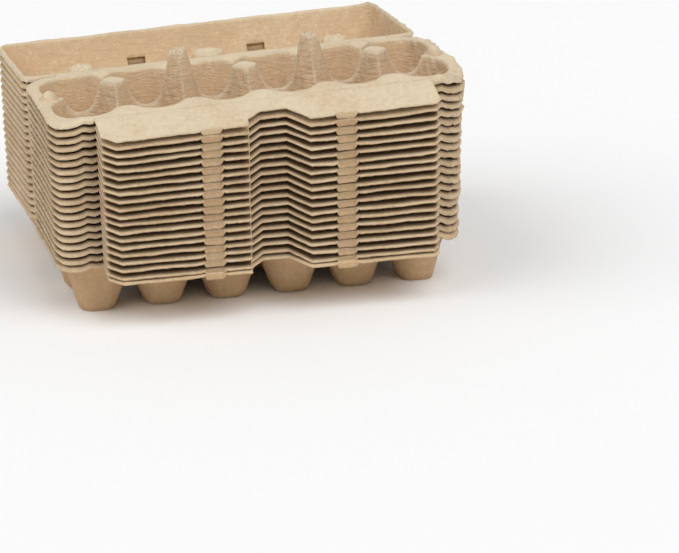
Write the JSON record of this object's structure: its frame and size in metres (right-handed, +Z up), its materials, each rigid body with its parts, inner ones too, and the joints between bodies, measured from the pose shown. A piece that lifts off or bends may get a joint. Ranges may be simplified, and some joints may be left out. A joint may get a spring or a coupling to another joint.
{
  "type": "stack of egg cartons",
  "caption": "Nested stack of open moulded-pulp egg cartons with hollow lids and notched locking flaps; the top carton's lid and flap fold.",
  "frame": {"origin": "on the floor, under the middle of the stack's bounding box", "axes": "+X along the cartons' length, +Y from the flaps to the lids, +Z up"},
  "size_m": [0.2996, 0.2448, 0.1788],
  "materials": {
    "pulp": "rough, fibrous moulded pulp"
  },
  "bodies": {
    "stack": {"carton_01": "pulp", "carton_02": "pulp", "carton_03": "pulp", "carton_04": "pulp", "carton_05": "pulp", "carton_06": "pulp", "carton_07": "pulp", "carton_08": "pulp", "carton_09": "pulp", "carton_10": "pulp", "carton_11": "pulp", "carton_12": "pulp", "carton_13": "pulp", "carton_14": "pulp", "carton_15": "pulp", "carton_16": "pulp", "carton_17": "pulp", "carton_18": "pulp", "carton_19": "pulp", "top_tray": "pulp"},
    "lid": {"top_lid": "pulp"},
    "flap": {"top_flap": "pulp"}
  },
  "joints": [
    {"name": "top_lid_fold", "type": "hinge", "parent": "stack", "child": "lid", "pos_m": [-0.00091, 0.01105, 0.15052], "axis": [0.9992, 0, 0.0401], "range_deg": [0, 182.5]},
    {"name": "top_flap_fold", "type": "hinge", "parent": "stack", "child": "flap", "pos_m": [-0.0009, -0.09695, 0.15027], "axis": [-0.9992, 0, -0.0401], "range_deg": [0, 142]}
  ]
}
